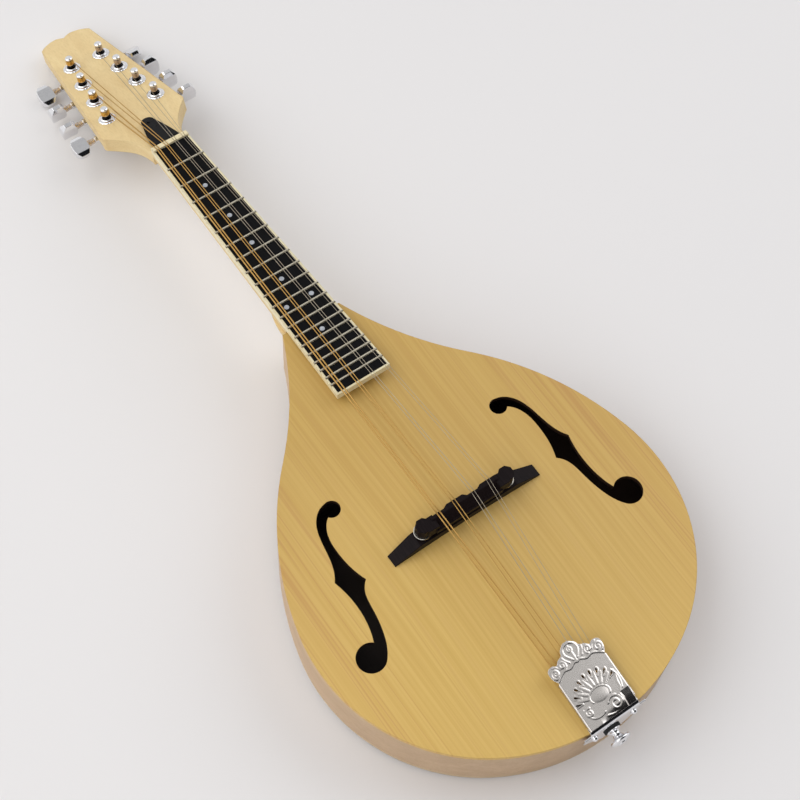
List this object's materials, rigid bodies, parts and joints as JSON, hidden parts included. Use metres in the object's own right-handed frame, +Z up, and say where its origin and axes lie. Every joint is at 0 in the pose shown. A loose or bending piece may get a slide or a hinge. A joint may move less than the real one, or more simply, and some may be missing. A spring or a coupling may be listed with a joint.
{
  "type": "mandolin",
  "caption": "Teardrop flat-back mandolin with arched top, f-holes, adjustable bridge, stamped tailpiece and paired strings on geared tuners.",
  "frame": {"origin": "bottom centre of the whole instrument's box as it lies on its back on a table: tail edge of the back and the tuners nearest the tip touch z = 0", "axes": "+Y from tail to headstock, +X to the treble side, +Z up from the table"},
  "size_m": [0.2694, 0.716, 0.0851],
  "materials": {
    "top_wood": "sanded unfinished spruce-like softwood",
    "back_wood": "sanded pale hardwood",
    "side_wood": "sanded pale hardwood",
    "neck_wood": "sanded maple",
    "inner_wood": "raw basswood and spruce",
    "board_wood": "ebonised, satin",
    "bridge_wood": "ebonised, satin",
    "binding": "cream plastic",
    "nut_bone": "bone-coloured",
    "pearl": "pearl dots",
    "fret_metal": "nickel silver",
    "steel": "plain steel",
    "brass_part": "machined",
    "cover_black": "black",
    "wound_string": "bronze wound",
    "plain_string": "plain steel",
    "felt": "black felt",
    "wheel_metal": "nickel plated",
    "chrome_part": "polished chrome plate"
  },
  "bodies": {
    "body": {"top_plate": "top_wood", "back_plate": "back_wood", "side_bass": "side_wood", "side_treble": "side_wood", "neck_block": "inner_wood", "tail_block": "inner_wood", "top_linings": "inner_wood", "back_linings": "inner_wood", "tone_bars": "inner_wood", "back_braces": "inner_wood", "neck": "neck_wood", "heel_cap": "neck_wood", "truss_rod": "steel", "truss_rod_cover": "cover_black", "cover_screws": "cover_black", "fretboard": "board_wood", "fretboard_binding": "binding", "frets": "fret_metal", "position_dots": "pearl", "nut": "nut_bone", "bridge_base": "bridge_wood", "bridge_studs": "wheel_metal", "tailpiece_base": "chrome_part", "tailpiece_screws": "chrome_part", "strap_button_washer": "felt", "strap_button": "chrome_part", "strap_button_screw": "chrome_part", "tuner_housings": "chrome_part", "tuner_bushings": "chrome_part", "tuner_washers": "chrome_part", "tuner_screws": "chrome_part", "strings_g": "wound_string", "strings_d": "wound_string", "strings_a": "plain_string", "strings_e": "plain_string"},
    "post_bass_1": {"post_bass_1": "chrome_part"},
    "knob_bass_1": {"knob_bass_1": "chrome_part"},
    "post_bass_2": {"post_bass_2": "chrome_part"},
    "knob_bass_2": {"knob_bass_2": "chrome_part"},
    "post_bass_3": {"post_bass_3": "chrome_part"},
    "knob_bass_3": {"knob_bass_3": "chrome_part"},
    "post_bass_4": {"post_bass_4": "chrome_part"},
    "knob_bass_4": {"knob_bass_4": "chrome_part"},
    "post_treble_1": {"post_treble_1": "chrome_part"},
    "knob_treble_1": {"knob_treble_1": "chrome_part"},
    "post_treble_2": {"post_treble_2": "chrome_part"},
    "knob_treble_2": {"knob_treble_2": "chrome_part"},
    "post_treble_3": {"post_treble_3": "chrome_part"},
    "knob_treble_3": {"knob_treble_3": "chrome_part"},
    "post_treble_4": {"post_treble_4": "chrome_part"},
    "knob_treble_4": {"knob_treble_4": "chrome_part"},
    "saddle": {"bridge_saddle": "bridge_wood"},
    "wheel_bass": {"thumbwheel_bass": "wheel_metal"},
    "wheel_treble": {"thumbwheel_treble": "wheel_metal"},
    "tail_cover": {"tailpiece_cover": "chrome_part"},
    "rod_nut": {"truss_rod_nut": "brass_part"}
  },
  "joints": [
    {"name": "knob_bass_1_turn", "type": "hinge", "parent": "body", "child": "knob_bass_1", "pos_m": [-0.013, 0.316, 0.00728], "axis": [-1, 0, 0], "continuous": true},
    {"name": "post_bass_1_turn", "type": "hinge", "parent": "body", "child": "post_bass_1", "pos_m": [-0.013, 0.31155, 0.00847], "axis": [0, 0.2576, 0.9662], "continuous": true},
    {"name": "knob_bass_2_turn", "type": "hinge", "parent": "body", "child": "knob_bass_2", "pos_m": [-0.016, 0.29107, 0.01393], "axis": [-1, 0, 0], "continuous": true},
    {"name": "post_bass_2_turn", "type": "hinge", "parent": "body", "child": "post_bass_2", "pos_m": [-0.016, 0.28662, 0.01511], "axis": [0, 0.2576, 0.9662], "continuous": true},
    {"name": "knob_bass_3_turn", "type": "hinge", "parent": "body", "child": "knob_bass_3", "pos_m": [-0.0186, 0.26662, 0.02045], "axis": [-1, 0, 0], "continuous": true},
    {"name": "post_bass_3_turn", "type": "hinge", "parent": "body", "child": "post_bass_3", "pos_m": [-0.0186, 0.26218, 0.02163], "axis": [0, 0.2576, 0.9662], "continuous": true},
    {"name": "knob_bass_4_turn", "type": "hinge", "parent": "body", "child": "knob_bass_4", "pos_m": [-0.0212, 0.24189, 0.02704], "axis": [-1, 0, 0], "continuous": true},
    {"name": "post_bass_4_turn", "type": "hinge", "parent": "body", "child": "post_bass_4", "pos_m": [-0.0212, 0.23744, 0.02823], "axis": [0, 0.2576, 0.9662], "continuous": true},
    {"name": "knob_treble_1_turn", "type": "hinge", "parent": "body", "child": "knob_treble_1", "pos_m": [0.013, 0.316, 0.00728], "axis": [1, 0, 0], "continuous": true},
    {"name": "post_treble_1_turn", "type": "hinge", "parent": "body", "child": "post_treble_1", "pos_m": [0.013, 0.31155, 0.00847], "axis": [0, 0.2576, 0.9662], "continuous": true},
    {"name": "knob_treble_2_turn", "type": "hinge", "parent": "body", "child": "knob_treble_2", "pos_m": [0.016, 0.29107, 0.01393], "axis": [1, 0, 0], "continuous": true},
    {"name": "post_treble_2_turn", "type": "hinge", "parent": "body", "child": "post_treble_2", "pos_m": [0.016, 0.28662, 0.01511], "axis": [0, 0.2576, 0.9662], "continuous": true},
    {"name": "knob_treble_3_turn", "type": "hinge", "parent": "body", "child": "knob_treble_3", "pos_m": [0.0186, 0.26662, 0.02045], "axis": [1, 0, 0], "continuous": true},
    {"name": "post_treble_3_turn", "type": "hinge", "parent": "body", "child": "post_treble_3", "pos_m": [0.0186, 0.26218, 0.02163], "axis": [0, 0.2576, 0.9662], "continuous": true},
    {"name": "knob_treble_4_turn", "type": "hinge", "parent": "body", "child": "knob_treble_4", "pos_m": [0.0212, 0.24189, 0.02704], "axis": [1, 0, 0], "continuous": true},
    {"name": "post_treble_4_turn", "type": "hinge", "parent": "body", "child": "post_treble_4", "pos_m": [0.0212, 0.23744, 0.02823], "axis": [0, 0.2576, 0.9662], "continuous": true},
    {"name": "saddle_height", "type": "slide", "parent": "body", "child": "saddle", "axis": [0, -0.0553, 0.9985], "range_m": [-0.001, 0.002], "deforming": ["strings_g", "strings_d", "strings_a", "strings_e"]},
    {"name": "wheel_bass_turn", "type": "hinge", "parent": "saddle", "child": "wheel_bass", "pos_m": [-0.0315, -0.18304, 0.07196], "axis": [0, -0.0553, 0.9985], "range_deg": [-450, 900]},
    {"name": "wheel_treble_turn", "type": "hinge", "parent": "saddle", "child": "wheel_treble", "pos_m": [0.0339, -0.18304, 0.07196], "axis": [0, -0.0553, 0.9985], "range_deg": [-450, 900]},
    {"name": "tail_cover_slide", "type": "slide", "parent": "body", "child": "tail_cover", "axis": [0, 0.9786, 0.2057], "range_m": [0, 0.015]},
    {"name": "rod_nut_turn", "type": "hinge", "parent": "body", "child": "rod_nut", "pos_m": [0, 0.18665, 0.05352], "axis": [0, 0.9989, -0.0459], "range_deg": [-180, 180]}
  ],
  "couplings": [
    {"joint": "post_bass_1_turn", "follows": "knob_bass_1_turn", "ratio": -0.066667},
    {"joint": "post_bass_2_turn", "follows": "knob_bass_2_turn", "ratio": -0.066667},
    {"joint": "post_bass_3_turn", "follows": "knob_bass_3_turn", "ratio": -0.066667},
    {"joint": "post_bass_4_turn", "follows": "knob_bass_4_turn", "ratio": -0.066667},
    {"joint": "post_treble_1_turn", "follows": "knob_treble_1_turn", "ratio": 0.066667},
    {"joint": "post_treble_2_turn", "follows": "knob_treble_2_turn", "ratio": 0.066667},
    {"joint": "post_treble_3_turn", "follows": "knob_treble_3_turn", "ratio": 0.066667},
    {"joint": "post_treble_4_turn", "follows": "knob_treble_4_turn", "ratio": 0.066667},
    {"joint": "wheel_bass_turn", "follows": "saddle_height", "rad_per_m": 7854},
    {"joint": "wheel_treble_turn", "follows": "saddle_height", "rad_per_m": 7854}
  ]
}
